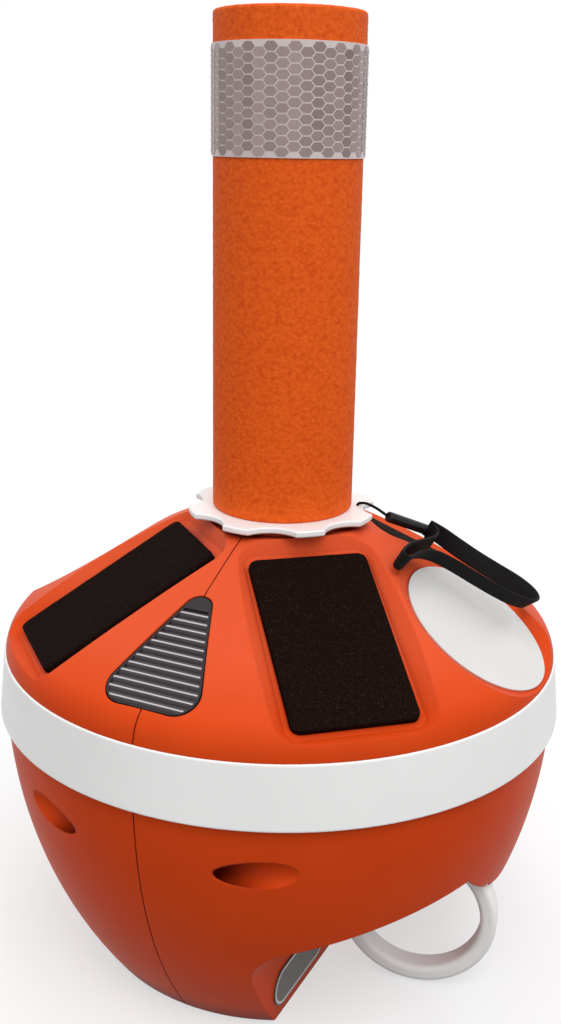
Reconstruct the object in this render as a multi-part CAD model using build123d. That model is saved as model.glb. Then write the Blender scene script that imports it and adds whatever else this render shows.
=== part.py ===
# Anchor retrieval buoy: a two-part moulded hull with a toothed hand wheel and a foam mast on top.
# Frame: origin at the centre of the flat base, +Z up the mast, -Y the front lens, +X the cut-away side.
# The hull splits on the plane X = 0.  All sizes are in millimetres, and angles in degrees.
import math
import os

from build123d import *

os.makedirs("parts", exist_ok=True)

# Lower hull, a body of revolution
BASE_R = 90.0            # flat base
BASE_EDGE = 3.0          # rounding between base and side
WAIST_R = 120.4          # a point half way up the curved side
WAIST_Z = 62.0
BAND_LOW_Z = 124.0       # lower edge of the white band
BAND_LOW_R = 130.5       # hull radius there
BAND_TOP_Z = 152.0       # upper edge of the white band
BAND_TOP_R = 128.5       # hull radius there
SPLIT_GAP = 0.5          # gap between the two half shells

# White band round the widest part
BAND_LOW_T = 3.0         # thickness at its lower edge
BAND_TOP_T = 2.0         # thickness at its upper edge
BAND_EDGE = 0.8

# Dome: a rolled edge above the band, a flat arc up to the shoulder, and the neck that the wheel turns in
RIM_STEP = 1.3           # how far the rim stands out over the band's upper edge
ROLL_INSET = 5.5         # from the band's upper edge in to the top of the rolled edge
ROLL_RISE = 12.6         # from that edge up to it
ROLL_R = 17.0            # radius of the rolled edge
DOME_R = 495.0           # radius of the arc
SHOULDER_R = 40.0
SHOULDER_Z = 211.7
NECK_R = 34.0
NECK_GAP = 0.4           # between the neck and the wheel above it

# Pockets with a flat floor for the four foam pads, a little wider at the foot than at the head
PAD_AZIMUTHS = (41.3, 138.7, 221.3, 318.7)   # from the front, turning to the right
PAD_NAMES = ("front_right", "rear_right", "rear_left", "front_left")
PAD_SLOPE = 29.6
PAD_INSET = 48.4         # from the band's upper edge in to the pad's middle
PAD_RISE = 29.2          # from that edge up to the floor there
PAD_W = 53.6
PAD_L = 88.2
PAD_T = 3.0
PAD_CORNER = 4.0
POCKET_FOOT_SIDE = 2.6   # floor that shows beside the pad's foot
POCKET_HEAD_SIDE = 1.0   # and beside its head
POCKET_FOOT = 2.8        # floor below the pad
POCKET_HEAD = 4.0        # and above it
POCKET_CORNER = 6.0
POCKET_DEPTH = 16.0
POCKET_DRAFT = 50.0      # how far the walls lean outwards

# Round pocket and sign on the right side, the same pocket bare on the left
SIGN_R = 36.6
SIGN_T = 0.8
SIGN_INSET = 31.1        # from the band's upper edge in to the sign's middle
SIGN_RISE = 21.7         # from that edge up to the floor there
SIGN_SLOPE = 33.7
SIGN_MARGIN = 0.5
SIGN_DRAFT = 65.0

# Ribbed lens on the split, front and back: a rounded triangle, its point up the slope
LENS_INSET = 29.7        # from the band's upper edge in to the lens's middle
LENS_HALF_W = 25.0       # sizes to the sharp corners
LENS_FOOT = 28.4
LENS_HEAD = 40.9
LENS_CORNER = 9.5        # rounding of the two lower corners
LENS_TIP = 6.2           # and of the upper one
LENS_GAP = 0.6
LENS_SINK = 1.2          # from the dome down to the crests of the ribs
LENS_T = 3.0
LENS_RIB_PITCH = 4.1
LENS_RIB_RISE = 1.3
TRAY_T = 1.6

# Clamp bolts that draw the halves together, front and back
BOLT_INSET = 12.6        # from the hull's side under the band
BOLT_DROP = 22.2         # below the band's lower edge
BOLT_R = 3.0
BOLT_HOLE_CLEARANCE = 0.2
BOLT_RECESS_R = 6.6
BOLT_GRIP = 28.0         # length between head and nut
BOLT_HEAD_R = 5.2
BOLT_HEAD_H = 4.0

# Cut-away under the right side
KEEL_X = 40.0            # flat keel wall
CEILING_X = 68.3         # a point on the sloping ceiling
CEILING_Z = 61.0
CEILING_SLOPE = 18.3
CEILING_FILLET = 24.0
LOBE_R = 64.0            # rounded lobe in front of the cut-away
LOBE_Z = 120.8
LOBE_WALL = 16.0         # from its inner face out to the hull's side under the band
WELL_HALF_Y = 46.0       # well above the ceiling that takes the ring's top
WELL_TOP_Z = 84.0

# Oval plate on the keel wall
PLATE_L = 54.0
PLATE_H = 19.0
PLATE_T = 0.8
PLATE_Y = -55.0
PLATE_Z = 14.5

# Pull ring and its cross pin
RING_SIDE = 29.5         # from the ring's middle to the lobe's inner face
RING_Y = -21.0
RING_TURN = 12.0         # how far the pin turns from X towards Y
RING_Z = 37.4
RING_OUTER_R = 36.6
RING_INNER_R = 29.0
RING_T = 12.0
RING_EDGE = 2.5
RING_BARREL_R = 6.5
RING_BARREL_L = 26.0
RING_ROOM = 1.0          # room round the swinging ring, let into the lobe
RING_ROOM_SWING = 58.0   # either way
PIN_R = 3.0
PIN_RUNNING = 0.06       # radial clearance of the ring on its pin
PIN_WALL = 2.0           # between the pin's hole and the inside of the ring
PIN_SEAT = 4.5           # depth of the pin's ends in the hull

# Hand wheel, turning in the neck
WHEEL_Z = 214.0          # underside
WHEEL_T = 3.0
WHEEL_TIP_R = 43.8
WHEEL_ROOT_R = 37.8
WHEEL_SCALLOP_R = 14.0
WHEEL_TEETH = 8
WHEEL_TURN = -1.9        # where the first tooth stands, from +X
WHEEL_EDGE = 0.6
HUB_R = 18.0
HUB_L = 30.0
HUB_RUNNING = 0.08       # radial clearance in the neck
HUB_FLOOR = 1.0          # room below the hub

# Mast
FOAM_R = 32.5
FOAM_L = 214.0
FOAM_EDGE = 1.5
STEM_R = 10.0
STEM_SHORT = 2.0         # how far the stem ends below the foam's top
TAPE_T = 0.5
TAPE_W = 45.0
TAPE_DROP = 13.4         # from the foam's top down to the tape

# Wrist lanyard: a thin cord from a hole in the wheel, a slider, and a webbing loop that lies on the dome
CORD_R = 0.65
CORD_HOLE_CLEARANCE = 0.25
CORD_POINTS = (
    (32.3, 14.0, 215.0), (32.3, 14.0, 218.0), (36.5, 14.3, 218.7), (42.3, 13.3, 217.3),
    (47.5, 12.45, 214.95),
)
SLIDER_START = (48.4, 12.2, 214.5)
SLIDER_R = 2.5
SLIDER_EDGE = 0.8
LOOP_AZIMUTH = 98.0      # where the loop's plane touches the dome
LOOP_RHO = 83.0
LOOP_LIFT = 0.6          # room between the dome and the webbing's lower edge
LOOP_W = 7.0
LOOP_T = 1.4
LOOP_SLIDER = (21.3, 23.1)
LOOP_POINTS = (
    (22.7, 23.6), (25.4, 18.4), (26.5, 8.1), (29.2, -3.9), (32.5, -15.8), (33.5, -26.6), (27.4, -35.1),
    (17.1, -35.0), (9.0, -27.9), (4.7, -17.6), (2.7, -6.2), (1.0, 5.3), (-2.9, 15.1), (-12.1, 20.7),
    (-22.9, 21.8), (-29.0, 22.9), (-29.4, 26.8), (-23.8, 28.4), (-11.9, 27.1), (-0.9, 22.4), (9.2, 16.7),
    (16.5, 13.7), (22.3, 16.3), (20.7, 21.5),
)

FAR = 400.0              # larger than the object, for cutting

# Places that follow from the sizes above
NECK_TOP_Z = WHEEL_Z - NECK_GAP
FOAM_Z = WHEEL_Z + WHEEL_T
RIM_R = BAND_TOP_R + RIM_STEP
ROLL_TOP = (BAND_TOP_R - ROLL_INSET, BAND_TOP_Z + ROLL_RISE)
PAD_RHO = BAND_TOP_R - PAD_INSET
PAD_Z = BAND_TOP_Z + PAD_RISE
BOLT_Y = BAND_LOW_R - BOLT_INSET
BOLT_Z = BAND_LOW_Z - BOLT_DROP
LOBE_INNER_X = BAND_LOW_R - LOBE_WALL
RING_X = LOBE_INNER_X - RING_SIDE
RING_DROP = RING_INNER_R + PIN_WALL + PIN_R   # from the pin down to the ring's middle
RING_AXIS_Z = RING_Z + RING_DROP
UPRIGHT = (Align.CENTER, Align.CENTER, Align.MIN)


def save(shape, node):
    """Write one node, named after its file."""
    shape.label = node
    export_step(shape, f"parts/{node}.step")


def facing(azimuth, rho, z, slope):
    """A plane on the top, seen from outside: local X runs round the axis, local Y up the slope."""
    a = math.radians(azimuth)
    b = math.radians(slope)
    out = Vector(math.sin(a), -math.cos(a), 0)
    along = Vector(math.cos(a), math.sin(a), 0)
    normal = out * math.sin(b) + Vector(0, 0, math.cos(b))
    return Plane(origin=out * rho + Vector(0, 0, z), x_dir=along, z_dir=normal)


def on_dome(rho):
    """Height and slope of the dome at a distance from the axis."""
    outer = Vector(*ROLL_TOP)
    half = (Vector(SHOULDER_R, SHOULDER_Z) - outer) * 0.5
    inward = Vector(-half.Y, half.X).normalized()
    centre = outer + half + inward * math.sqrt(DOME_R ** 2 - half.length ** 2)
    across = rho - centre.X
    height = math.sqrt(DOME_R ** 2 - across ** 2)
    return centre.Y + height, math.degrees(math.atan2(across, height))


def hull_body():
    """The whole hull as one body of revolution, before it is cut."""
    side = ThreePointArc((BASE_R, 0), (WAIST_R, WAIST_Z), (BAND_LOW_R, BAND_LOW_Z))
    belt = Line((BAND_LOW_R, BAND_LOW_Z), (BAND_TOP_R, BAND_TOP_Z))
    step = Line((BAND_TOP_R, BAND_TOP_Z), (RIM_R, BAND_TOP_Z))
    roll = RadiusArc((RIM_R, BAND_TOP_Z), ROLL_TOP, -ROLL_R)
    middle = (ROLL_TOP[0] + SHOULDER_R) / 2
    dome = ThreePointArc(ROLL_TOP, (middle, on_dome(middle)[0]), (SHOULDER_R, SHOULDER_Z))
    rest = Polyline(
        (SHOULDER_R, SHOULDER_Z), (NECK_R, SHOULDER_Z), (NECK_R, NECK_TOP_Z), (0, NECK_TOP_Z),
        (0, 0), (BASE_R, 0),
    )
    body = revolve(Plane.XZ * make_face([side, belt, step, roll, dome] + rest.edges()), Axis.Z)
    base_edge = body.edges().filter_by(GeomType.CIRCLE).group_by(Axis.Z)[0]
    return fillet(base_edge, BASE_EDGE)


def pad_plane(azimuth):
    """The floor of a pad's pocket."""
    return facing(azimuth, PAD_RHO, PAD_Z, PAD_SLOPE)


def pad_pocket(azimuth):
    """The room over a pad: a rounded trapezium that opens outwards from the floor."""
    foot_w = PAD_W / 2 + POCKET_FOOT_SIDE
    head_w = PAD_W / 2 + POCKET_HEAD_SIDE
    foot = -PAD_L / 2 - POCKET_FOOT
    head = PAD_L / 2 + POCKET_HEAD
    corners = Polygon((-foot_w, foot), (foot_w, foot), (head_w, head), (-head_w, head), align=None)
    floor = fillet(corners.vertices(), POCKET_CORNER)
    mouth = offset(floor, POCKET_DEPTH * math.tan(math.radians(POCKET_DRAFT)))
    return pad_plane(azimuth) * loft([floor.face(), Pos(0, 0, POCKET_DEPTH) * mouth.face()])


def sign_plane(azimuth):
    """The floor of the sign's pocket."""
    return facing(azimuth, BAND_TOP_R - SIGN_INSET, BAND_TOP_Z + SIGN_RISE, SIGN_SLOPE)


def sign_pocket(azimuth):
    """The room over the sign, a shallow cone."""
    foot = SIGN_R + SIGN_MARGIN
    mouth = foot + POCKET_DEPTH * math.tan(math.radians(SIGN_DRAFT))
    return sign_plane(azimuth) * Cone(foot, mouth, POCKET_DEPTH, align=UPRIGHT)


def lens_plane(azimuth):
    """The plane through the crests of a lens's ribs."""
    rho = BAND_TOP_R - LENS_INSET
    return facing(azimuth, rho, *on_dome(rho)).offset(-LENS_SINK)


def lens_outline(margin):
    """A rounded triangle with its point up the slope."""
    tip = (0, LENS_HEAD)
    outline = Polygon((-LENS_HALF_W, -LENS_FOOT), (LENS_HALF_W, -LENS_FOOT), tip, align=None)
    outline = fillet(outline.vertices().sort_by_distance(tip)[0], LENS_TIP)
    outline = fillet(outline.vertices().sort_by(Axis.Y)[:2], LENS_CORNER)
    return offset(outline, margin)


def lens_pocket(azimuth):
    """The room for a lens and its tray."""
    depth = LENS_RIB_RISE + LENS_T + TRAY_T
    return lens_plane(azimuth).offset(-depth) * extrude(lens_outline(LENS_GAP), 3 * depth)


def lens_body(azimuth):
    """The lens plate with its ribs across, cut to the outline."""
    rib_r = (LENS_RIB_RISE ** 2 + (LENS_RIB_PITCH / 2) ** 2) / (2 * LENS_RIB_RISE)
    outline = lens_outline(0)
    ribs = Part()
    for i in range(math.ceil((LENS_FOOT + LENS_HEAD) / LENS_RIB_PITCH)):
        y = (i + 0.5) * LENS_RIB_PITCH - LENS_FOOT
        ribs += Pos(0, y, -rib_r) * Rot(0, 90, 0) * Cylinder(rib_r, 3 * LENS_HALF_W)
    clip = extrude(Pos(0, 0, -LENS_RIB_RISE) * outline, LENS_RIB_RISE)
    plate = extrude(Pos(0, 0, -LENS_RIB_RISE - LENS_T) * outline, LENS_T)
    return lens_plane(azimuth) * (plate + (ribs & clip))


def along_x(radius, x_from, x_to, y, z):
    """A round bar parallel to X."""
    return Pos(x_from, y, z) * Rot(0, 90, 0) * Cylinder(radius, x_to - x_from, align=UPRIGHT)


def bolt_cuts(y):
    """Hole and recesses of one clamp bolt."""
    half = BOLT_GRIP / 2
    hole = along_x(BOLT_R + BOLT_HOLE_CLEARANCE, -half, half, y, BOLT_Z)
    recess = along_x(BOLT_RECESS_R, half, FAR, y, BOLT_Z) + along_x(BOLT_RECESS_R, -FAR, -half, y, BOLT_Z)
    return hole + recess


def clamp_bolt(y):
    """Socket screw and its hexagon nut."""
    half = BOLT_GRIP / 2
    shank = along_x(BOLT_R, -half - BOLT_HEAD_H, half, y, BOLT_Z)
    head = along_x(BOLT_HEAD_R, half, half + BOLT_HEAD_H, y, BOLT_Z)
    socket = extrude(RegularPolygon(BOLT_R, 6), BOLT_HEAD_H / 2)
    head -= Pos(half + BOLT_HEAD_H / 2, y, BOLT_Z) * Rot(0, 90, 0) * socket
    nut = extrude(RegularPolygon(BOLT_HEAD_R, 6), BOLT_HEAD_H)
    return shank + head + Pos(-half - BOLT_HEAD_H, y, BOLT_Z) * Rot(0, 90, 0) * nut


def cut_away():
    """What is taken off the right half: the side passage and the well, less the lobe in front."""
    rise = math.tan(math.radians(CEILING_SLOPE))
    corner_z = CEILING_Z - (CEILING_X - KEEL_X) * rise
    far_z = CEILING_Z + (FAR - CEILING_X) * rise
    passage = Polygon((KEEL_X, -FAR), (FAR, -FAR), (FAR, far_z), (KEEL_X, corner_z), align=None)
    corner = passage.vertices().sort_by_distance((KEEL_X, corner_z, 0))[0]
    passage = extrude(Plane.XZ * fillet(corner, CEILING_FILLET), FAR / 2, both=True)
    lobe = along_x(LOBE_R, LOBE_INNER_X, LOBE_INNER_X + FAR, 0, LOBE_Z)
    well_size = (LOBE_INNER_X - KEEL_X, 2 * WELL_HALF_Y, WELL_TOP_Z)
    well = Pos(KEEL_X, 0, 0) * Box(*well_size, align=(Align.MIN, Align.CENTER, Align.MIN))
    return (passage - lobe) + well


def in_ring_place(shape):
    """Put a piece made over the origin, with the pin along X, where the ring hangs."""
    return Pos(RING_X, RING_Y, 0) * Rot(0, 0, RING_TURN) * shape


def ring_disc(radius):
    """A disc in the upright plane of the hanging ring, over the origin."""
    return Plane(origin=(0, 0, RING_Z), x_dir=(1, 0, 0), z_dir=(0, -1, 0)) * Circle(radius)


def swing_room():
    """The room that the ring swings in, below its pin."""
    reach = RING_OUTER_R + RING_ROOM
    below_pin = Pos(0, 0, RING_AXIS_Z) * Box(FAR, FAR, FAR, align=(Align.CENTER, Align.CENTER, Align.MAX))
    pin_axis = Axis((0, 0, RING_AXIS_Z), (1, 0, 0))
    disc = (ring_disc(reach) & below_pin).rotate(pin_axis, -RING_ROOM_SWING)
    return in_ring_place(revolve(disc, pin_axis, 2 * RING_ROOM_SWING))


def bends(points):
    """The largest radius at each corner of a cord's route that its two runs allow."""
    radii = []
    for before, here, after in zip(points, points[1:], points[2:]):
        run_in = Vector(*here) - Vector(*before)
        run_out = Vector(*after) - Vector(*here)
        half_turn = math.radians(run_in.get_angle(run_out)) / 2
        radii.append(0.45 * min(run_in.length, run_out.length) / math.tan(half_turn))
    return radii


def cord_path(points, name):
    """Straight runs joined by arcs, with its tightest bend and its length printed."""
    radii = bends(points)
    path = FilletPolyline(*points, radius=radii)
    print(name, "bends", [round(r, 1) for r in radii], "length", round(path.length, 1))
    return path


# Hull
hull = hull_body()
for azimuth in PAD_AZIMUTHS:
    hull -= pad_pocket(azimuth)
for azimuth in (90, 270):
    hull -= sign_pocket(azimuth)
for azimuth in (0, 180):
    hull -= lens_pocket(azimuth)
hub_hole_z = WHEEL_Z - HUB_L - HUB_FLOOR
hull -= Pos(0, 0, hub_hole_z) * Cylinder(HUB_R + HUB_RUNNING, FAR, align=UPRIGHT)
for y in (-BOLT_Y, BOLT_Y):
    hull -= bolt_cuts(y)
hull -= cut_away()
hull -= swing_room()
pin_from = (KEEL_X - RING_X) / math.cos(math.radians(RING_TURN)) - PIN_SEAT
pin_to = RING_SIDE / math.cos(math.radians(RING_TURN)) + PIN_SEAT
ring_pin = in_ring_place(along_x(PIN_R, pin_from, pin_to, 0, RING_AXIS_Z))
hull -= ring_pin

right_side = Box(FAR, 2 * FAR, 2 * FAR, align=(Align.MIN, Align.CENTER, Align.CENTER))
right_side = Pos(SPLIT_GAP / 2, 0, 0) * right_side
save(hull & right_side, "shell_right")
save(hull & mirror(right_side, Plane.YZ), "shell_left")
save(ring_pin, "ring_pin")

# Band
low_corner = (BAND_LOW_R + BAND_LOW_T, BAND_LOW_Z)
top_corner = (BAND_TOP_R + BAND_TOP_T, BAND_TOP_Z)
inner_corners = ((BAND_TOP_R, BAND_TOP_Z), (BAND_LOW_R, BAND_LOW_Z))
band_section = Polygon(low_corner, top_corner, *inner_corners, align=None)
outer_corners = [band_section.vertices().sort_by_distance(corner)[0] for corner in (low_corner, top_corner)]
save(revolve(Plane.XZ * fillet(outer_corners, BAND_EDGE), Axis.Z), "equator_band")

# Pads
for name, azimuth in zip(PAD_NAMES, PAD_AZIMUTHS):
    save(pad_plane(azimuth) * extrude(RectangleRounded(PAD_W, PAD_L, PAD_CORNER), PAD_T), f"pad_{name}")

# Sign and plate, both blank
save(sign_plane(90) * extrude(Circle(SIGN_R), SIGN_T), "sign")
plate_plane = Plane(origin=(KEEL_X, PLATE_Y, PLATE_Z), x_dir=(0, 1, 0), z_dir=(1, 0, 0))
save(plate_plane * extrude(SlotOverall(PLATE_L, PLATE_H), PLATE_T), "keel_plate")

# Lenses and the trays behind them
for name, azimuth in (("front", 0), ("rear", 180)):
    save(lens_body(azimuth), f"lens_{name}")
    tray = extrude(Pos(0, 0, -LENS_RIB_RISE - LENS_T - TRAY_T) * lens_outline(0), TRAY_T)
    save(lens_plane(azimuth) * tray, f"lens_tray_{name}")

# Clamp bolts
for name, y in (("front", -BOLT_Y), ("rear", BOLT_Y)):
    save(clamp_bolt(y), f"clamp_bolt_{name}")

# Pull ring
ring_eye = extrude(ring_disc(RING_INNER_R), RING_T, both=True)
ring = extrude(ring_disc(RING_OUTER_R), RING_T / 2, both=True) - ring_eye
ring = fillet(ring.edges().filter_by(GeomType.CIRCLE), RING_EDGE)
ring += along_x(RING_BARREL_R, -RING_BARREL_L / 2, RING_BARREL_L / 2, 0, RING_AXIS_Z) - ring_eye
ring -= along_x(PIN_R + PIN_RUNNING, -FAR, FAR, 0, RING_AXIS_Z)
save(in_ring_place(ring), "pull_ring")

# Hand wheel with hub and stem, and the hole for the lanyard's cord
wheel_profile = Circle(WHEEL_TIP_R)
for i in range(WHEEL_TEETH):
    turn = WHEEL_TURN + (i + 0.5) * 360 / WHEEL_TEETH
    wheel_profile -= Rot(0, 0, turn) * Pos(WHEEL_ROOT_R + WHEEL_SCALLOP_R, 0) * Circle(WHEEL_SCALLOP_R)
flange = extrude(wheel_profile, WHEEL_T)
flat_faces = flange.faces().sort_by(Axis.Z)
flange = Pos(0, 0, WHEEL_Z) * chamfer(flat_faces[0].edges() + flat_faces[-1].edges(), WHEEL_EDGE)
hub = Pos(0, 0, WHEEL_Z - HUB_L) * Cylinder(HUB_R, HUB_L, align=UPRIGHT)
stem = Pos(0, 0, FOAM_Z) * Cylinder(STEM_R, FOAM_L - STEM_SHORT, align=UPRIGHT)
cord_hole = Pos(*CORD_POINTS[0]) * Cylinder(CORD_R + CORD_HOLE_CLEARANCE, 3 * WHEEL_T)
save(flange + hub + stem - cord_hole, "hand_wheel")

# Mast
foam = Cylinder(FOAM_R, FOAM_L, align=UPRIGHT)
foam = fillet(foam.edges().filter_by(GeomType.CIRCLE), FOAM_EDGE) - Cylinder(STEM_R, FOAM_L, align=UPRIGHT)
save(Pos(0, 0, FOAM_Z) * foam, "foam_tube")
tape = Cylinder(FOAM_R + TAPE_T, TAPE_W, align=UPRIGHT) - Cylinder(FOAM_R, TAPE_W, align=UPRIGHT)
save(Pos(0, 0, FOAM_Z + FOAM_L - TAPE_DROP - TAPE_W) * tape, "reflective_tape")

# Lanyard: the webbing stands on edge in a plane that touches the dome
loop_plane = facing(LOOP_AZIMUTH, LOOP_RHO, *on_dome(LOOP_RHO)).offset(LOOP_LIFT + LOOP_W / 2)
slider_end = loop_plane.from_local_coords(Vector(*LOOP_SLIDER))
slider_run = slider_end - Vector(*SLIDER_START)
slider_place = Plane(origin=SLIDER_START, z_dir=slider_run)
slider = Cylinder(SLIDER_R, slider_run.length, align=UPRIGHT)
save(slider_place * fillet(slider.edges().filter_by(GeomType.CIRCLE), SLIDER_EDGE), "lanyard_slider")

cord_route = cord_path(CORD_POINTS, "lanyard_cord")
cord_start = Plane(origin=cord_route @ 0, z_dir=cord_route % 0)
save(sweep(cord_start * Circle(CORD_R), cord_route), "lanyard_cord")

loop_route = cord_path(LOOP_POINTS, "lanyard_loop")
loop_start = Plane(origin=loop_route @ 0, x_dir=(0, 0, 1), z_dir=loop_route % 0)
save(loop_plane * sweep(loop_start * Rectangle(LOOP_W, LOOP_T), loop_route), "lanyard_loop")
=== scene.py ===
# Anchor retrieval buoy: finishes, foam, lenses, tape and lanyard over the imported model, in metres.
import math

import bpy
from mathutils import Matrix, Vector, noise


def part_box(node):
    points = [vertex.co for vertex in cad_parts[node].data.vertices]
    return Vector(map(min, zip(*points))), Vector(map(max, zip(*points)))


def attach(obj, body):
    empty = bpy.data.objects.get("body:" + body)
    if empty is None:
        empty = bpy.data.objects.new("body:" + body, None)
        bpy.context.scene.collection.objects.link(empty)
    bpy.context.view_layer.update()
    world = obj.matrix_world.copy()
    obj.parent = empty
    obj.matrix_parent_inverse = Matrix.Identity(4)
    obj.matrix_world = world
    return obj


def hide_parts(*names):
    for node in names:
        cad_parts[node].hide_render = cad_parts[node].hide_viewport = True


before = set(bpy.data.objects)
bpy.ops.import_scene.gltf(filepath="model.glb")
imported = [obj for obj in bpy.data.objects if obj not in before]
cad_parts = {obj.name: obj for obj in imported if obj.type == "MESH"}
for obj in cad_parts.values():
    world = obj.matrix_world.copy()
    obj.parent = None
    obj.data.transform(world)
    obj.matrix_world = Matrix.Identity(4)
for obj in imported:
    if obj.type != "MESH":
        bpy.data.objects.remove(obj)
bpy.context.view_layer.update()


# Hull shells
# Two thick moulded halves in orange plastic, split down the middle and drawn together by
# clamp bolts.  The skin keeps the fine even grain of the mould, its top is lightened by a painted highlight,
# and its corners and recesses are darkened by painted shade.
HULL_HIGHLIGHT_LOW = 0.162    # the heights between which the painted highlight comes in
HULL_HIGHLIGHT_HIGH = 0.18
HULL_SHADE_REACH = 0.02  # how near a wall has to be for painted shade to gather


def linear(red, green, blue):
    """Scene colour of a screen colour given as 0 to 255."""
    return tuple(((c / 255 + 0.055) / 1.055) ** 2.4 for c in (red, green, blue))


def node(tree, kind, inputs=None, **settings):
    """A new shader or geometry node, its inputs linked to a socket or set to a value."""
    made = tree.nodes.new(kind)
    for key, value in settings.items():
        setattr(made, key, value)
    for key, value in (inputs or {}).items():
        if isinstance(value, bpy.types.NodeSocket):
            tree.links.new(value, made.inputs[key])
        else:
            made.inputs[key].default_value = value
    return made


def place_on(tree):
    """Where a point lies on the object."""
    return node(tree, "ShaderNodeTexCoord").outputs["Object"]


def ramp(tree, value, *stops):
    """Colour that runs through these (place, colour) stops as value goes from 0 to 1."""
    made = node(tree, "ShaderNodeValToRGB", {"Fac": value})
    for spare in made.color_ramp.elements[1:]:
        made.color_ramp.elements.remove(spare)
    for i, (place, colour) in enumerate(stops):
        stop = made.color_ramp.elements[0] if i == 0 else made.color_ramp.elements.new(place)
        stop.position = place
        stop.color = (*colour, 1)
    return made.outputs["Color"]


def finish(name, roughness, shine, metal=0.0):
    """A new material, its tree and its shader."""
    material = bpy.data.materials.new(name)
    material.use_nodes = True
    shader = material.node_tree.nodes["Principled BSDF"]
    shader.inputs["Roughness"].default_value = roughness
    shader.inputs["Specular IOR Level"].default_value = shine
    shader.inputs["Metallic"].default_value = metal
    return material, material.node_tree, shader


def roughen(tree, shader, height, strength, distance, normal=None, invert=False):
    """Bump the surface by a height."""
    inputs = {"Height": height, "Strength": strength, "Distance": distance}
    if normal is not None:
        inputs["Normal"] = normal
    bump = node(tree, "ShaderNodeBump", inputs, invert=invert)
    tree.links.new(bump.outputs["Normal"], shader.inputs["Normal"])


def grained(name, roughness, shine, low, high, grain, depth, edge, metal=0.0, painted_highlight=None, painted_shade=None):
    """A finish with a faint drift of colour, fine grain and soft edges, on the hull with a painted highlight
    on its top and painted shade in its corners and recesses too.
    """
    material, tree, shader = finish(name, roughness, shine, metal)
    place = place_on(tree)
    drift = node(tree, "ShaderNodeTexNoise", {"Vector": place, "Scale": 22.0, "Detail": 2.0})
    colour = ramp(tree, drift.outputs["Fac"], (0.3, low), (0.7, high))
    # Painted highlight: the upper faces blend towards a paler, less saturated colour.
    if painted_highlight:
        height = node(tree, "ShaderNodeSeparateXYZ", {0: place}).outputs["Z"]
        span = {"Value": height, "From Min": HULL_HIGHLIGHT_LOW, "From Max": HULL_HIGHLIGHT_HIGH}
        share = node(tree, "ShaderNodeMapRange", span).outputs[0]
        both = {"Factor": share, 6: colour, 7: (*painted_highlight, 1)}
        colour = node(tree, "ShaderNodeMix", both, data_type="RGBA").outputs[2]
    # Painted shade: ambient occlusion darkens corners, recesses and the skin under the band.
    if painted_shade:
        near = node(tree, "ShaderNodeAmbientOcclusion", {"Distance": HULL_SHADE_REACH}, samples=6)
        shade_tint = ramp(tree, near.outputs["AO"], (0.1, painted_shade), (0.62, (1, 1, 1)))
        both = {"Factor": 1.0, 6: colour, 7: shade_tint}
        colour = node(tree, "ShaderNodeMix", both, data_type="RGBA", blend_type="MULTIPLY").outputs[2]
    tree.links.new(colour, shader.inputs["Base Color"])
    fine = node(tree, "ShaderNodeTexNoise", {"Vector": place, "Scale": grain, "Detail": 3.0})
    soft = node(tree, "ShaderNodeBevel", {"Radius": edge}, samples=6)
    roughen(tree, shader, fine.outputs["Fac"], 0.5, depth, normal=soft.outputs["Normal"])
    return material


def coat(material, *names):
    """Give CAD nodes this finish."""
    for name in names:
        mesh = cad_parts[name].data
        mesh.materials.clear()
        mesh.materials.append(material)


# The hull's paler top is a painted highlight, and its darkened corners and recesses are painted shade.
hull_orange = grained(
    "hull_orange", roughness=0.44, shine=0.06, low=linear(207, 66, 18), high=linear(214, 71, 21),
    grain=1500.0, depth=0.00006, edge=0.001, painted_highlight=linear(219, 84, 45), painted_shade=(0.2, 0.1, 0.15),
)
coat(hull_orange, "shell_right", "shell_left")


# Equator band
# A hoop of white plastic strip round the widest part, where the dome meets the lower hull.
# It lies over both halves and is bonded to them, with a faint grain and soft edges.
band_white = grained(
    "band_white", roughness=0.36, shine=0.4, low=linear(242, 242, 241), high=linear(247, 247, 246),
    grain=700.0, depth=0.00005, edge=0.0008,
)
coat(band_white, "equator_band")


# Foam pads
# Four sheets of black closed-cell foam, cut with rounded corners, their edges a little rolled,
# and stuck to the floors of the pockets in the dome.
PAD_W = 0.0536
PAD_L = 0.0882
PAD_T = 0.003
PAD_CORNER = 0.004
PAD_CORNER_STEPS = 5
PAD_ROLL = 0.0007        # rounding of the cut edge
PAD_ROLL_MID = 0.3 * PAD_ROLL  # in and down at the middle of that rounding
PAD_STEP = 0.0016        # between points of the outline
PAD_TOP_RINGS = 16       # from the edge in to the middle of the top
PAD_DENT = 0.00012
PAD_DENT_SCALE = 160
PAD_RHO = 0.0801
PAD_FLOOR_Z = 0.1812
PAD_SLOPE = 29.6
PAD_TURNS = {"front_right": 41.3, "rear_right": 138.7, "rear_left": 221.3, "front_left": 318.7}


def facing(azimuth, rho, z, slope):
    """Place on the dome seen from outside: X round the axis, Y up the slope, Z outwards."""
    a = math.radians(azimuth)
    b = math.radians(slope)
    out = Vector((math.sin(a), -math.cos(a), 0))
    along = Vector((math.cos(a), math.sin(a), 0))
    normal = out * math.sin(b) + Vector((0, 0, math.cos(b)))
    turn = Matrix((along, normal.cross(along), normal)).transposed()
    return Matrix.Translation(out * rho + Vector((0, 0, z))) @ turn.to_4x4()


def piece(name, points, faces, material, body, smooth=True):
    """A new mesh of the object that rides on a body."""
    mesh = bpy.data.meshes.new(name)
    mesh.from_pydata(points, [], faces)
    mesh.polygons.foreach_set("use_smooth", [smooth] * len(mesh.polygons))
    mesh.materials.append(material)
    mesh.update()
    made = bpy.data.objects.new(name, mesh)
    bpy.context.scene.collection.objects.link(made)
    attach(made, body)
    return made


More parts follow.
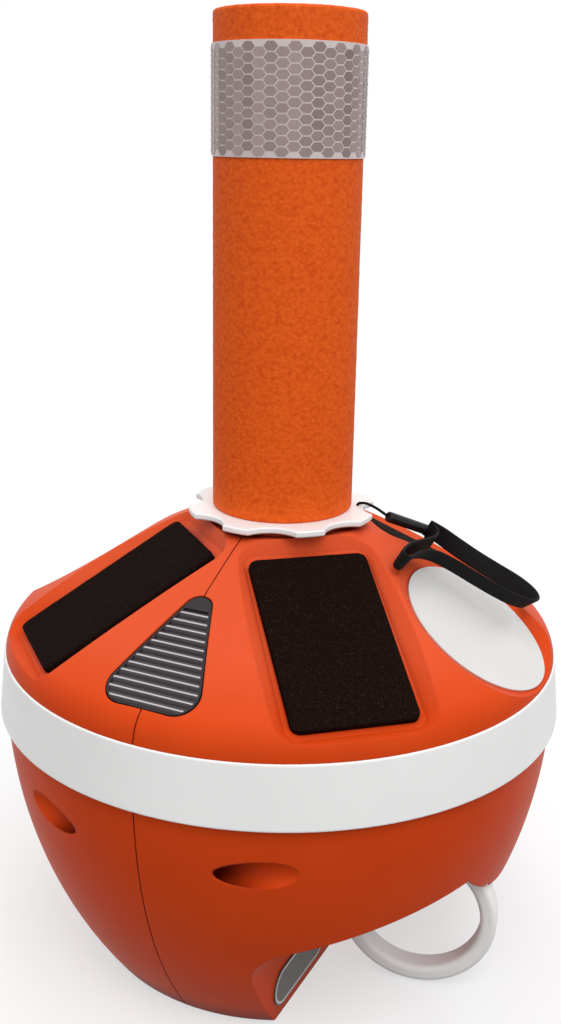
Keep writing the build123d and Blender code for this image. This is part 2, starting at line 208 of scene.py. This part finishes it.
def lofted(rings, joined=False):
    """Points and faces of a closed form through rings of points, its ends capped or joined to each other."""
    count = len(rings[0])
    points = [p for ring in rings for p in ring]
    faces = []
    for r in range(len(rings) if joined else len(rings) - 1):
        low = r * count
        high = (r + 1) % len(rings) * count
        for i in range(count):
            j = (i + 1) % count
            faces.append((low + i, low + j, high + j, high + i))
    if not joined:
        faces.append(tuple(reversed(range(count))))
        faces.append(tuple(range(len(points) - count, len(points))))
    return points, faces


def pad_outline():
    """Points round a pad's edge, anticlockwise, about a step apart."""
    corners = []
    for quarter, (sx, sy) in enumerate(((1, 1), (-1, 1), (-1, -1), (1, -1))):
        for i in range(PAD_CORNER_STEPS + 1):
            a = math.radians(90 * (quarter + i / PAD_CORNER_STEPS))
            x = sx * (PAD_W / 2 - PAD_CORNER) + PAD_CORNER * math.cos(a)
            y = sy * (PAD_L / 2 - PAD_CORNER) + PAD_CORNER * math.sin(a)
            corners.append((x, y))
    outline = []
    for (x0, y0), (x1, y1) in zip(corners, corners[1:] + corners[:1]):
        cuts = max(1, round(math.hypot(x1 - x0, y1 - y0) / PAD_STEP))
        outline += [(x0 + (x1 - x0) * i / cuts, y0 + (y1 - y0) * i / cuts) for i in range(cuts)]
    return outline


pad_black, tree, shader = finish("pad_foam", roughness=0.8, shine=0.02)
place = place_on(tree)
cells = node(tree, "ShaderNodeTexVoronoi", {"Vector": place, "Scale": 900.0})
specks = node(tree, "ShaderNodeTexNoise", {
    "Vector": place, "Scale": 1300.0, "Detail": 2.0, "Roughness": 0.7,
})
speck_colour = ramp(
    tree, specks.outputs["Fac"],
    (0.35, linear(17, 10, 8)), (0.6, linear(26, 16, 13)), (0.74, linear(56, 42, 36)),
)
tree.links.new(speck_colour, shader.inputs["Base Color"])
roughen(tree, shader, cells.outputs["Distance"], 0.6, 0.0003)

edge = pad_outline()
for name, azimuth in PAD_TURNS.items():
    seat = facing(azimuth, PAD_RHO, PAD_FLOOR_Z, PAD_SLOPE)
    rings = []
    for inset, depth in ((0, PAD_T), (0, PAD_ROLL), (PAD_ROLL_MID, PAD_ROLL_MID), (PAD_ROLL, 0)):
        scale_x = 1 - inset / (PAD_W / 2)
        scale_y = 1 - inset / (PAD_L / 2)
        rings.append([(x * scale_x, y * scale_y, PAD_T - depth) for x, y in edge])
    for i in range(1, PAD_TOP_RINGS):
        scale_x = (1 - PAD_ROLL / (PAD_W / 2)) * (1 - i / PAD_TOP_RINGS)
        scale_y = (1 - PAD_ROLL / (PAD_L / 2)) * (1 - i / PAD_TOP_RINGS)
        rings.append([(x * scale_x, y * scale_y, PAD_T) for x, y in edge])
    points, faces = lofted(rings)
    placed = []
    for x, y, z in points:
        dent = noise.noise(Vector((x, y, azimuth)) * PAD_DENT_SCALE) * PAD_DENT if z > 0 else 0
        placed.append(seat @ Vector((x, y, z + dent)))
    pad = piece(f"foam_pad_{name}", placed, faces, pad_black, "hull")
    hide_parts(f"pad_{name}")


# Round sign
# A blank disc of white vinyl film with a low gloss, stuck to the floor of the round pocket on
# the right side of the dome.
sign_white = grained(
    "sign_white", roughness=0.32, shine=0.35, low=linear(208, 207, 205), high=linear(215, 214, 212),
    grain=260.0, depth=0.00005, edge=0.0003,
)
coat(sign_white, "sign")


# Keel plate
# A blank oval plate of dark grey plastic with a pale printed line inside its edge, stuck to the
# keel wall.
PLATE_LINE_IN = 0.0006   # from the plate's edge to the printed line
PLATE_LINE_W = 0.0012


def calc(tree, operation, *values):
    """Result of a math node."""
    return node(tree, "ShaderNodeMath", dict(enumerate(values)), operation=operation).outputs[0]


plate_low, plate_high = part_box("keel_plate")
plate_mid = (Vector(plate_low) + Vector(plate_high)) / 2
plate_half_h = (plate_high[2] - plate_low[2]) / 2
plate_straight = (plate_high[1] - plate_low[1]) / 2 - plate_half_h
plate_grey, tree, shader = finish("plate_grey", roughness=0.45, shine=0.4)
from_mid = node(tree, "ShaderNodeVectorMath", {0: place_on(tree), 1: plate_mid}, operation="SUBTRACT")
axes = node(tree, "ShaderNodeSeparateXYZ", {0: from_mid.outputs["Vector"]}).outputs
past_straight = calc(tree, "SUBTRACT", calc(tree, "ABSOLUTE", axes["Y"]), plate_straight)
flat = node(tree, "ShaderNodeCombineXYZ", {"X": calc(tree, "MAXIMUM", past_straight, 0.0), "Y": axes["Z"]})
reach = node(tree, "ShaderNodeVectorMath", {0: flat.outputs[0]}, operation="LENGTH").outputs["Value"]
line_r = plate_half_h - PLATE_LINE_IN - PLATE_LINE_W / 2
on_line = calc(tree, "COMPARE", reach, line_r, PLATE_LINE_W / 2)
plate_colour = ramp(tree, on_line, (0.0, linear(92, 85, 85)), (1.0, linear(205, 202, 200)))
tree.links.new(plate_colour, shader.inputs["Base Color"])
coat(plate_grey, "keel_plate")


# Lenses and trays
# Smoke-grey lenses in clear plastic, front and back, each over a silvered tray let into the dome.
# Ribs run across between two plain ends and a flat rim. Thin pale lines of painted highlight run along their
# crests, and painted shade darkens them towards the valleys.
LENS_RHO = 0.0988
LENS_Z = 0.18057         # height and slope of the dome at that distance from the axis
LENS_SLOPE = 31.75
LENS_SINK = 0.0012       # from the dome down to the rim
LENS_HALF_W = 0.025      # to the sharp corners
LENS_FOOT = 0.0284
LENS_HEAD = 0.0409
LENS_CORNER = 0.0095
LENS_TIP = 0.0062
LENS_RIM = 0.0011
LENS_T = 0.0043
LENS_RIB_PITCH = 0.0041
LENS_RIB_DEPTH = 0.0008
LENS_RIB_CURVE = 1.5
LENS_RIBS = 12
LENS_RIB_START = 0.0009  # from the foot to the first rib
LENS_ROWS_A_RIB = 12
LENS_COLUMNS = 9
LENS_END_SHARE = 0.0005  # of the height, by which the end rows stop short
LENS_HIGHLIGHT_W = 0.1        # share of a rib that its painted highlight takes
LENS_RIM_SHADE = 0.2     # place of the rim and the plain ends on the painted highlight scale, where a crest is 1

corner_turn = math.atan2(LENS_FOOT + LENS_HEAD, LENS_HALF_W)
corner_x = LENS_HALF_W - LENS_CORNER / math.tan(corner_turn / 2)
corner_y = LENS_CORNER - LENS_FOOT
tip_y = LENS_HEAD - LENS_TIP / math.cos(corner_turn)
lens_height = tip_y + LENS_TIP + LENS_FOOT


def lens_half_width(y):
    """Half the width of the rounded triangle at a height up the slope."""
    if y < corner_y + LENS_CORNER * math.cos(corner_turn):
        return corner_x + math.sqrt(max(0, LENS_CORNER ** 2 - (y - corner_y) ** 2))
    if y > tip_y + LENS_TIP * math.cos(corner_turn):
        return math.sqrt(max(0, LENS_TIP ** 2 - (y - tip_y) ** 2))
    return (LENS_HEAD - y) / math.tan(corner_turn)


def crest_share(y):
    """One on the crest of a rib, zero in the valleys, and none on the plain ends."""
    along = (y + LENS_FOOT - LENS_RIB_START) / LENS_RIB_PITCH
    return 1 - abs(2 * (along % 1) - 1) if 0 <= along <= LENS_RIBS else None


lens_clear, tree, shader = finish("lens_clear", roughness=0.14, shine=0.25)
shader.inputs["Transmission Weight"].default_value = 0.25
shader.inputs["IOR"].default_value = 1.49
# Smoke grey with a painted highlight on each crest and painted shade towards the valleys.
lens_grey_and_highlight = ramp(
    tree, node(tree, "ShaderNodeAttribute", attribute_name="crest").outputs["Fac"],
    (0.0, linear(36, 30, 34)), (1 - 2 * LENS_HIGHLIGHT_W, linear(82, 74, 78)),
    (1 - LENS_HIGHLIGHT_W, linear(224, 216, 219)),
)
tree.links.new(lens_grey_and_highlight, shader.inputs["Base Color"])

rows = round(lens_height / LENS_RIB_PITCH * LENS_ROWS_A_RIB)
for name, azimuth in (("front", 0), ("rear", 180)):
    rim_plane = facing(azimuth, LENS_RHO, LENS_Z, LENS_SLOPE) @ Matrix.Translation((0, 0, -LENS_SINK))
    rings = []
    crest_highlights = []
    for row in range(rows + 1):
        y = -LENS_FOOT + lens_height * min(max(row / rows, LENS_END_SHARE), 1 - LENS_END_SHARE)
        half = lens_half_width(y)
        inner = half - min(LENS_RIM, half / 3)
        crest = crest_share(y)
        plain = crest is None
        depth = 0 if plain else LENS_RIB_DEPTH * (1 - crest) ** LENS_RIB_CURVE
        face = [(-half, 0), (-inner, 0)]
        face += [(inner * (2 * i / (LENS_COLUMNS - 1) - 1), -depth) for i in range(LENS_COLUMNS)]
        face += [(inner, 0), (half, 0)]
        ring = [rim_plane @ Vector((x, y, z)) for x, z in face]
        ring += [rim_plane @ Vector((x, y, -LENS_T)) for x in (half, -half)]
        rings.append(ring)
        rim = [LENS_RIM_SHADE] * 2
        # Each point's place on the painted highlight scale.
        crest_highlights += rim + [LENS_RIM_SHADE if plain else crest] * LENS_COLUMNS + rim + [0.0] * 2
    points, faces = lofted(rings)
    lens = piece(f"ribbed_lens_{name}", points, faces, lens_clear, "hull", smooth=False)
    lens.data.attributes.new("crest", "FLOAT", "POINT").data.foreach_set("value", crest_highlights)
    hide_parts(f"lens_{name}")

tray_silver = grained(
    "tray_silver", roughness=0.35, shine=0.5, low=linear(112, 108, 110), high=linear(126, 122, 124),
    grain=600.0, depth=0.00003, edge=0.0004, metal=1.0,
)
coat(tray_silver, "lens_tray_front", "lens_tray_rear")


# Clamp bolts and ring pin
# Stainless socket screws with nuts, sunk in the recesses of the hull, and the plain pin that the
# ring hangs on.  Bright turned steel with a fine grain.
bolt_steel = grained(
    "bolt_steel", roughness=0.34, shine=0.5, low=linear(168, 168, 172), high=linear(184, 184, 188),
    grain=900.0, depth=0.00002, edge=0.0003, metal=1.0,
)
coat(bolt_steel, "clamp_bolt_front", "clamp_bolt_rear", "ring_pin")


# Pull ring
# One moulding in pale grey-white plastic: a ring with rounded edges and a barrel at its top,
# which swings on the pin.
ring_white = grained(
    "ring_white", roughness=0.42, shine=0.4, low=linear(244, 243, 241), high=linear(248, 247, 246),
    grain=800.0, depth=0.00005, edge=0.0008,
)
coat(ring_white, "pull_ring")


# Hand wheel
# A toothed flange in white plastic, one piece with the hub that turns in the neck of the hull
# and the stem inside the mast.
wheel_white = grained(
    "wheel_white", roughness=0.4, shine=0.4, low=linear(238, 238, 237), high=linear(243, 243, 242),
    grain=800.0, depth=0.00005, edge=0.0006,
)
coat(wheel_white, "hand_wheel")


# Foam mast
# A tube of orange closed-cell foam pushed over the stem, its edges a little rolled and its skin
# coarse and pebbled.
FOAM_BORE = 0.010
FOAM_ROLL = 0.0015
FOAM_ROLL_STEPS = 3
FOAM_FOOT_STEPS = 6      # from the bore out along the lower end
FOAM_TOP_STEPS = 15
FOAM_COLUMNS = 300
FOAM_ROW = 0.001
FOAM_LUMP = 0.0002
FOAM_LUMP_SCALE = 420
foam_low, foam_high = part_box("foam_tube")
foam_foot = foam_low[2]
foam_top = foam_high[2]
foam_r = foam_high[0]
foam_flat_r = foam_r - FOAM_ROLL
foam_flat = foam_flat_r - FOAM_BORE
foam_side = foam_top - foam_foot - 2 * FOAM_ROLL
foam_rows = round(foam_side / FOAM_ROW)
roll = [math.radians(90 * i / FOAM_ROLL_STEPS) for i in range(1, FOAM_ROLL_STEPS + 1)]
profile = [(FOAM_BORE + foam_flat * i / FOAM_FOOT_STEPS, foam_foot) for i in range(FOAM_FOOT_STEPS + 1)]
profile += [
    (foam_r - FOAM_ROLL * (1 - math.sin(a)), foam_foot + FOAM_ROLL * (1 - math.cos(a))) for a in roll
]
profile += [(foam_r, foam_foot + FOAM_ROLL + foam_side * i / foam_rows) for i in range(1, foam_rows + 1)]
profile += [
    (foam_r - FOAM_ROLL * (1 - math.cos(a)), foam_top - FOAM_ROLL * (1 - math.sin(a))) for a in roll
]
profile += [(foam_flat_r - foam_flat * i / FOAM_TOP_STEPS, foam_top) for i in range(1, FOAM_TOP_STEPS + 1)]
rings = []
for r, z in profile:
    ring = []
    for i in range(FOAM_COLUMNS):
        a = 2 * math.pi * i / FOAM_COLUMNS
        point = Vector((r * math.cos(a), r * math.sin(a), z))
        sink = FOAM_LUMP * (0.5 + 0.5 * noise.noise(point * FOAM_LUMP_SCALE)) if z > foam_foot else 0
        if r > foam_r - FOAM_ROLL / 2:
            point.x *= 1 - sink / r
            point.y *= 1 - sink / r
        elif r > FOAM_BORE:
            point.z -= sink
        ring.append(point)
    rings.append(ring)
points, faces = lofted(rings, joined=True)

foam_orange, tree, shader = finish("mast_foam", roughness=0.65, shine=0.15)
place = place_on(tree)
wobble = node(tree, "ShaderNodeTexNoise", {"Vector": place, "Scale": 800.0, "Detail": 4.0, "Roughness": 0.6})
pebbles = node(tree, "ShaderNodeTexVoronoi", {"Vector": place, "Scale": 620.0}, feature="SMOOTH_F1")
height = calc(tree, "MULTIPLY", calc(tree, "ADD", pebbles.outputs["Distance"], wobble.outputs["Fac"]), 0.5)
foam_colour = ramp(
    tree, height, (0.28, linear(238, 102, 27)), (0.46, linear(230, 92, 20)), (0.66, linear(214, 78, 14)),
)
tree.links.new(foam_colour, shader.inputs["Base Color"])
roughen(tree, shader, height, 0.7, 0.0005, invert=True)
foam_tube = piece("foam_mast", points, faces, foam_orange, "mast")
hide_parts("foam_tube")


# Reflective tape
# Silver retroreflective tape wrapped once round the mast near its top: sealed cells in a pale
# honeycomb net, with a plain margin along both edges.
TAPE_COLUMNS = 42
TAPE_ROWS = 10
TAPE_ROW_PITCH = 0.00422
TAPE_NET = 0.0006        # width of the net between the cells
TAPE_CELL_RISE = 0.0001
TAPE_SEED = 4
TAPE_COLUMN_WEIGHT = 3.0  # of a column's own shade against that of each cell
tape_low, tape_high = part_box("reflective_tape")
tape_r = tape_high[0]
tape_mid_z = (tape_low[2] + tape_high[2]) / 2
tape_silver = grained(
    "tape_silver", roughness=0.35, shine=0.5, low=linear(200, 188, 186), high=linear(212, 200, 198),
    grain=500.0, depth=0.00002, edge=0.0002, metal=0.15,
)
coat(tape_silver, "reflective_tape")

cell_grey, tree, shader = finish("tape_cell", roughness=0.32, shine=0.5, metal=0.25)
shade = node(tree, "ShaderNodeAttribute", attribute_name="cell_shade").outputs["Fac"]
cell_colour = ramp(tree, shade, (0.0, linear(122, 104, 102)), (1.0, linear(172, 152, 149)))
tree.links.new(cell_colour, shader.inputs["Base Color"])

# Odd columns stand half a row higher, and columns one and a half times a cell's half width apart.
tape_values = {
    "Radius": ("Float", tape_r),
    "Low": ("Float", tape_mid_z - (TAPE_ROWS - 0.5) * TAPE_ROW_PITCH / 2),
    "Pitch": ("Float", TAPE_ROW_PITCH),
    "Columns": ("Int", TAPE_COLUMNS),
    "Rows": ("Int", TAPE_ROWS),
    "Width": ("Float", 2 * math.pi * tape_r / TAPE_COLUMNS / 1.5 - TAPE_NET / math.sqrt(3)),
    "Height": ("Float", (TAPE_ROW_PITCH - TAPE_NET) / math.sqrt(3)),
    "Seed": ("Int", TAPE_SEED),
}
group = bpy.data.node_groups.new("tape_cells", "GeometryNodeTree")
group.interface.new_socket("Geometry", in_out="INPUT", socket_type="NodeSocketGeometry")
sockets = {}
for label, (kind, _) in tape_values.items():
    sockets[label] = group.interface.new_socket(label, in_out="INPUT", socket_type=f"NodeSocket{kind}")
group.interface.new_socket("Geometry", in_out="OUTPUT", socket_type="NodeSocketGeometry")
given = node(group, "NodeGroupInput").outputs
index = node(group, "GeometryNodeInputIndex").outputs[0]
column = calc(group, "FLOOR", calc(group, "DIVIDE", index, given["Rows"]))
row = calc(group, "MODULO", index, given["Rows"])
shifted = calc(group, "MULTIPLY_ADD", calc(group, "MODULO", column, 2.0), 0.5, row)
rise = calc(group, "MULTIPLY_ADD", shifted, given["Pitch"], given["Low"])
turn = calc(group, "MULTIPLY", calc(group, "DIVIDE", column, given["Columns"]), 2 * math.pi)
outward = node(group, "ShaderNodeCombineXYZ", {
    "X": calc(group, "COSINE", turn), "Y": calc(group, "SINE", turn),
}).outputs[0]
at_skin = node(group, "ShaderNodeVectorMath", {0: outward, "Scale": given["Radius"]}, operation="SCALE")
lifted = node(group, "ShaderNodeCombineXYZ", {"Z": rise}).outputs[0]
spot = node(group, "ShaderNodeVectorMath", {0: at_skin.outputs["Vector"], 1: lifted}, operation="ADD")
spots = node(group, "GeometryNodePoints", {
    "Count": calc(group, "MULTIPLY", given["Columns"], given["Rows"]), "Position": spot.outputs["Vector"],
})
cell = node(group, "GeometryNodeMeshCylinder", {
    "Vertices": 6, "Radius": 1.0, "Depth": 2.0,
}, fill_type="NGON")
upright = node(group, "FunctionNodeAxesToRotation", {
    "Primary Axis": outward, "Secondary Axis": (0, 0, 1),
}, primary_axis="Z", secondary_axis="Y")
size = node(group, "ShaderNodeCombineXYZ", {"X": given["Width"], "Y": given["Height"], "Z": TAPE_CELL_RISE})
cells = node(group, "GeometryNodeInstanceOnPoints", {
    "Points": spots.outputs[0], "Instance": cell.outputs["Mesh"], "Rotation": upright.outputs[0],
    "Scale": size.outputs[0],
})
by_column = node(group, "FunctionNodeRandomValue", {"ID": column, "Seed": given["Seed"]}, data_type="FLOAT")
by_cell = node(group, "FunctionNodeRandomValue", {"Seed": given["Seed"]}, data_type="FLOAT")
weighed = calc(group, "MULTIPLY_ADD", by_column.outputs[1], TAPE_COLUMN_WEIGHT, by_cell.outputs[1])
shaded = node(group, "GeometryNodeStoreNamedAttribute", {
    "Geometry": cells.outputs[0], "Name": "cell_shade",
    "Value": calc(group, "DIVIDE", weighed, TAPE_COLUMN_WEIGHT + 1),
}, data_type="FLOAT", domain="INSTANCE")
real = node(group, "GeometryNodeRealizeInstances", {0: shaded.outputs[0]})
coloured = node(group, "GeometryNodeSetMaterial", {"Geometry": real.outputs[0], "Material": cell_grey})
node(group, "NodeGroupOutput", {0: coloured.outputs[0]})

carrier = bpy.data.objects.new("tape_carrier", bpy.data.meshes.new("tape_carrier"))
bpy.context.scene.collection.objects.link(carrier)
modifier = carrier.modifiers.new("cells", "NODES")
modifier.node_group = group
for label, (_, value) in tape_values.items():
    modifier[sockets[label].identifier] = value
bpy.context.view_layer.update()
made = bpy.data.meshes.new_from_object(carrier.evaluated_get(bpy.context.evaluated_depsgraph_get()))
bpy.data.objects.remove(carrier)
tape_cells = bpy.data.objects.new("tape_cells", made)
bpy.context.scene.collection.objects.link(tape_cells)
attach(tape_cells, "mast")


# Lanyard
# A thin braided cord tied through a hole in the wheel, a black plastic slider, and a loop of
# narrow black webbing that stands on edge on the dome, both its ends held in the slider.
LOOP_AZIMUTH = 98
LOOP_RHO = 0.083
LOOP_DOME_Z = 0.18995    # height and slope of the dome at that distance from the axis
LOOP_SLOPE = 29.62
LOOP_LIFT = 0.0047       # from the dome to the middle of the webbing's width
LOOP_W = 0.0086
LOOP_T = 0.0014
LOOP_LENGTH = 0.205
LOOP_FLARE = 26          # lean of the open part of the loop, its upper edge outwards
LOOP_LEAN_FULL = 0.1     # shares of the run at which the lean is full, starts to fade and is gone
LOOP_LEAN_FADES = 0.56
LOOP_LEAN_GONE = 0.68
LOOP_SECTION_POINTS = 20
LOOP_POWER_T = 0.5       # powers that square its oval section, across the thickness and the width
LOOP_POWER_W = 0.25
LOOP_POINTS = (
    (22.7, 23.6), (24.4, 17.4), (23.5, 8.1), (23.6, -3.9), (25.5, -15.8), (27.5, -26.6), (24.4, -35.1),
    (16.1, -36.0), (9.0, -28.9), (5.2, -17.6), (3.2, -6.2), (1.5, 5.3), (-2.4, 15.1), (-12.1, 20.7),
    (-22.9, 21.8), (-29.0, 22.2), (-29.8, 25.4), (-24.4, 26.4), (-11.9, 24.9), (-0.9, 20.9), (9.2, 17.9),
    (15.5, 17.7), (19.9, 19.3), (20.7, 22.0),
)                        # millimetres in the loop's plane
loop_place = facing(LOOP_AZIMUTH, LOOP_RHO, LOOP_DOME_Z, LOOP_SLOPE) @ Matrix.Translation((0, 0, LOOP_LIFT))
route = bpy.data.curves.new("loop_route", "CURVE")
route.dimensions = "3D"
spline = route.splines.new("NURBS")
spline.points.add(len(LOOP_POINTS) - 1)
for control, (x, y) in zip(spline.points, LOOP_POINTS):
    control.co = (*(loop_place @ Vector((x / 1000, y / 1000, 0))), 1)
spline.order_u = 3
spline.use_endpoint_u = True
spline.resolution_u = 10
guide = bpy.data.objects.new("loop_route", route)
bpy.context.scene.collection.objects.link(guide)
bpy.context.view_layer.update()
line = bpy.data.meshes.new_from_object(guide.evaluated_get(bpy.context.evaluated_depsgraph_get()))
path = [v.co.copy() for v in line.vertices]
bpy.data.objects.remove(guide)
bpy.data.meshes.remove(line)

section = []
for i in range(LOOP_SECTION_POINTS):
    a = 2 * math.pi * i / LOOP_SECTION_POINTS
    c = math.cos(a)
    s = math.sin(a)
    x = LOOP_T / 2 * math.copysign(abs(c) ** LOOP_POWER_T, c)
    y = LOOP_W / 2 * math.copysign(abs(s) ** LOOP_POWER_W, s)
    section.append((x, y))
up = loop_place.to_3x3() @ Vector((0, 0, 1))
rings = []
for i, here in enumerate(path):
    run = (path[min(i + 1, len(path) - 1)] - path[max(i - 1, 0)]).normalized()
    share = i / len(path)
    left = max(0, (LOOP_LEAN_GONE - share) / (LOOP_LEAN_GONE - LOOP_LEAN_FADES))
    lean = math.radians(LOOP_FLARE * min(1, share / LOOP_LEAN_FULL, left))
    level = up.cross(run).normalized()
    side = level * math.cos(lean) - up * math.sin(lean)
    tall = up * math.cos(lean) + level * math.sin(lean)
    rings.append([here + side * x + tall * y for x, y in section])
points, faces = lofted(rings)

lanyard_black, tree, shader = finish("lanyard_black", roughness=0.7, shine=0.12)
uv = node(tree, "ShaderNodeUVMap", uv_map="weave").outputs[0]
ribs = node(tree, "ShaderNodeTexWave", {"Vector": uv, "Scale": 5.0, "Distortion": 0.6}, bands_direction="X")
weave_colour = ramp(tree, ribs.outputs["Fac"], (0.1, linear(11, 10, 11)), (0.9, linear(34, 31, 32)))
tree.links.new(weave_colour, shader.inputs["Base Color"])
roughen(tree, shader, ribs.outputs["Fac"], 0.7, 0.0002)
loop = piece("lanyard_webbing", points, faces, lanyard_black, "mast")
weave = loop.data.uv_layers.new(name="weave")
for corner in loop.data.loops:
    ring, around = divmod(corner.vertex_index, len(section))
    weave.data[corner.index].uv = (ring / len(path) * LOOP_LENGTH / LOOP_W, around / len(section))
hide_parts("lanyard_loop")

cord_black, tree, shader = finish("lanyard_cord", roughness=0.7, shine=0.12)
braid = node(tree, "ShaderNodeTexVoronoi", {"Vector": place_on(tree), "Scale": 1500.0}).outputs["Distance"]
braid_colour = ramp(tree, braid, (0.1, linear(26, 24, 25)), (0.7, linear(12, 11, 12)))
tree.links.new(braid_colour, shader.inputs["Base Color"])
roughen(tree, shader, braid, 0.8, 0.0002)
coat(cord_black, "lanyard_cord")

slider_black = grained(
    "slider_black", roughness=0.36, shine=0.3, low=linear(14, 14, 15), high=linear(22, 22, 23),
    grain=1200.0, depth=0.00004, edge=0.0004,
)
coat(slider_black, "lanyard_slider")


# Floor, light and camera
# A pale studio floor that keeps the shadow and fades into the white round it, an even sky, a
# large soft lamp in front on the right, a small one overhead, and the camera of the photo.
FLOOR_HALF = 6.0
FLOOR_FADE_NEAR = 0.15   # distances from the axis between which the floor fades
FLOOR_FADE_FAR = 0.7
FLOOR_FADE_LEAST = 0.55  # share of plain white at the near one
SKY_STRENGTH = 0.9
LAMPS = (
    # name, size, watts, place
    ("key", 0.9, 9.6, (0.72, -0.67, 1.46)),
    ("top", 0.5, 2.6, (-0.2, 0.3, 1.55)),
)
LAMP_AIM = Vector((0, 0, 0.2))
EYE = Vector((0.23698, -0.48345, 0.3802))
LOOK = Vector((-0.42140, 0.85673, -0.2973))
UP = Vector((-0.14612, 0.25938, 0.9547))
LENS = 42.16


def in_view(tree):
    """One for a ray from the camera, also by way of a reflection or through a lens."""
    rays = node(tree, "ShaderNodeLightPath").outputs
    direct = calc(tree, "MAXIMUM", rays["Is Camera Ray"], rays["Is Glossy Ray"])
    return calc(tree, "MAXIMUM", direct, rays["Is Transmission Ray"])


floor_white = bpy.data.materials.new("floor_white")
floor_white.use_nodes = True
tree = floor_white.node_tree
tree.nodes.clear()
away = node(tree, "ShaderNodeVectorMath", {0: place_on(tree)}, operation="LENGTH").outputs["Value"]
fade = node(tree, "ShaderNodeMapRange", {
    "Value": away, "From Min": FLOOR_FADE_NEAR, "From Max": FLOOR_FADE_FAR,
    "To Min": FLOOR_FADE_LEAST, "To Max": 1.0,
})
glow = node(tree, "ShaderNodeEmission", {"Color": (1, 1, 1, 1), "Strength": 1.0})
pale = node(tree, "ShaderNodeBsdfDiffuse", {"Color": (*linear(246, 246, 246), 1)})
shown = node(tree, "ShaderNodeMixShader", {0: fade.outputs[0], 1: pale.outputs[0], 2: glow.outputs[0]})
grey = node(tree, "ShaderNodeBsdfDiffuse", {"Color": (*linear(114, 114, 114), 1)})
both = node(tree, "ShaderNodeMixShader", {0: in_view(tree), 1: grey.outputs[0], 2: shown.outputs[0]})
node(tree, "ShaderNodeOutputMaterial", {"Surface": both.outputs[0]})
floor_mesh = bpy.data.meshes.new("floor")
floor_corners = [(sx * FLOOR_HALF, sy * FLOOR_HALF, 0) for sx, sy in ((-1, -1), (1, -1), (1, 1), (-1, 1))]
floor_mesh.from_pydata(floor_corners, [], [(0, 1, 2, 3)])
floor_mesh.materials.append(floor_white)
floor = bpy.data.objects.new("floor", floor_mesh)
bpy.context.scene.collection.objects.link(floor)

world = bpy.data.worlds.new("studio")
world.use_nodes = True
bpy.context.scene.world = world
tree = world.node_tree
tree.nodes.clear()
sky = node(tree, "ShaderNodeBackground", {"Color": (1, 1, 1, 1), "Strength": SKY_STRENGTH})
white = node(tree, "ShaderNodeBackground", {"Color": (1, 1, 1, 1), "Strength": 1.0})
either = node(tree, "ShaderNodeMixShader", {0: in_view(tree), 1: sky.outputs[0], 2: white.outputs[0]})
node(tree, "ShaderNodeOutputWorld", {"Surface": either.outputs[0]})

for name, size, watts, spot in LAMPS:
    lamp_data = bpy.data.lights.new(name, "AREA")
    lamp_data.size = size
    lamp_data.energy = watts
    lamp = bpy.data.objects.new(name, lamp_data)
    bpy.context.scene.collection.objects.link(lamp)
    lamp.location = spot
    lamp.rotation_euler = (LAMP_AIM - lamp.location).to_track_quat("-Z", "Y").to_euler()

camera_data = bpy.data.cameras.new("camera")
camera_data.lens = LENS
camera_data.clip_start = 0.01
camera = bpy.data.objects.new("camera", camera_data)
bpy.context.scene.collection.objects.link(camera)
right = LOOK.cross(UP).normalized()
turn = Matrix((right, right.cross(LOOK), -LOOK)).transposed()
camera.matrix_world = Matrix.Translation(EYE) @ turn.to_4x4()
bpy.context.scene.camera = camera
bpy.context.scene.view_settings.view_transform = "Standard"
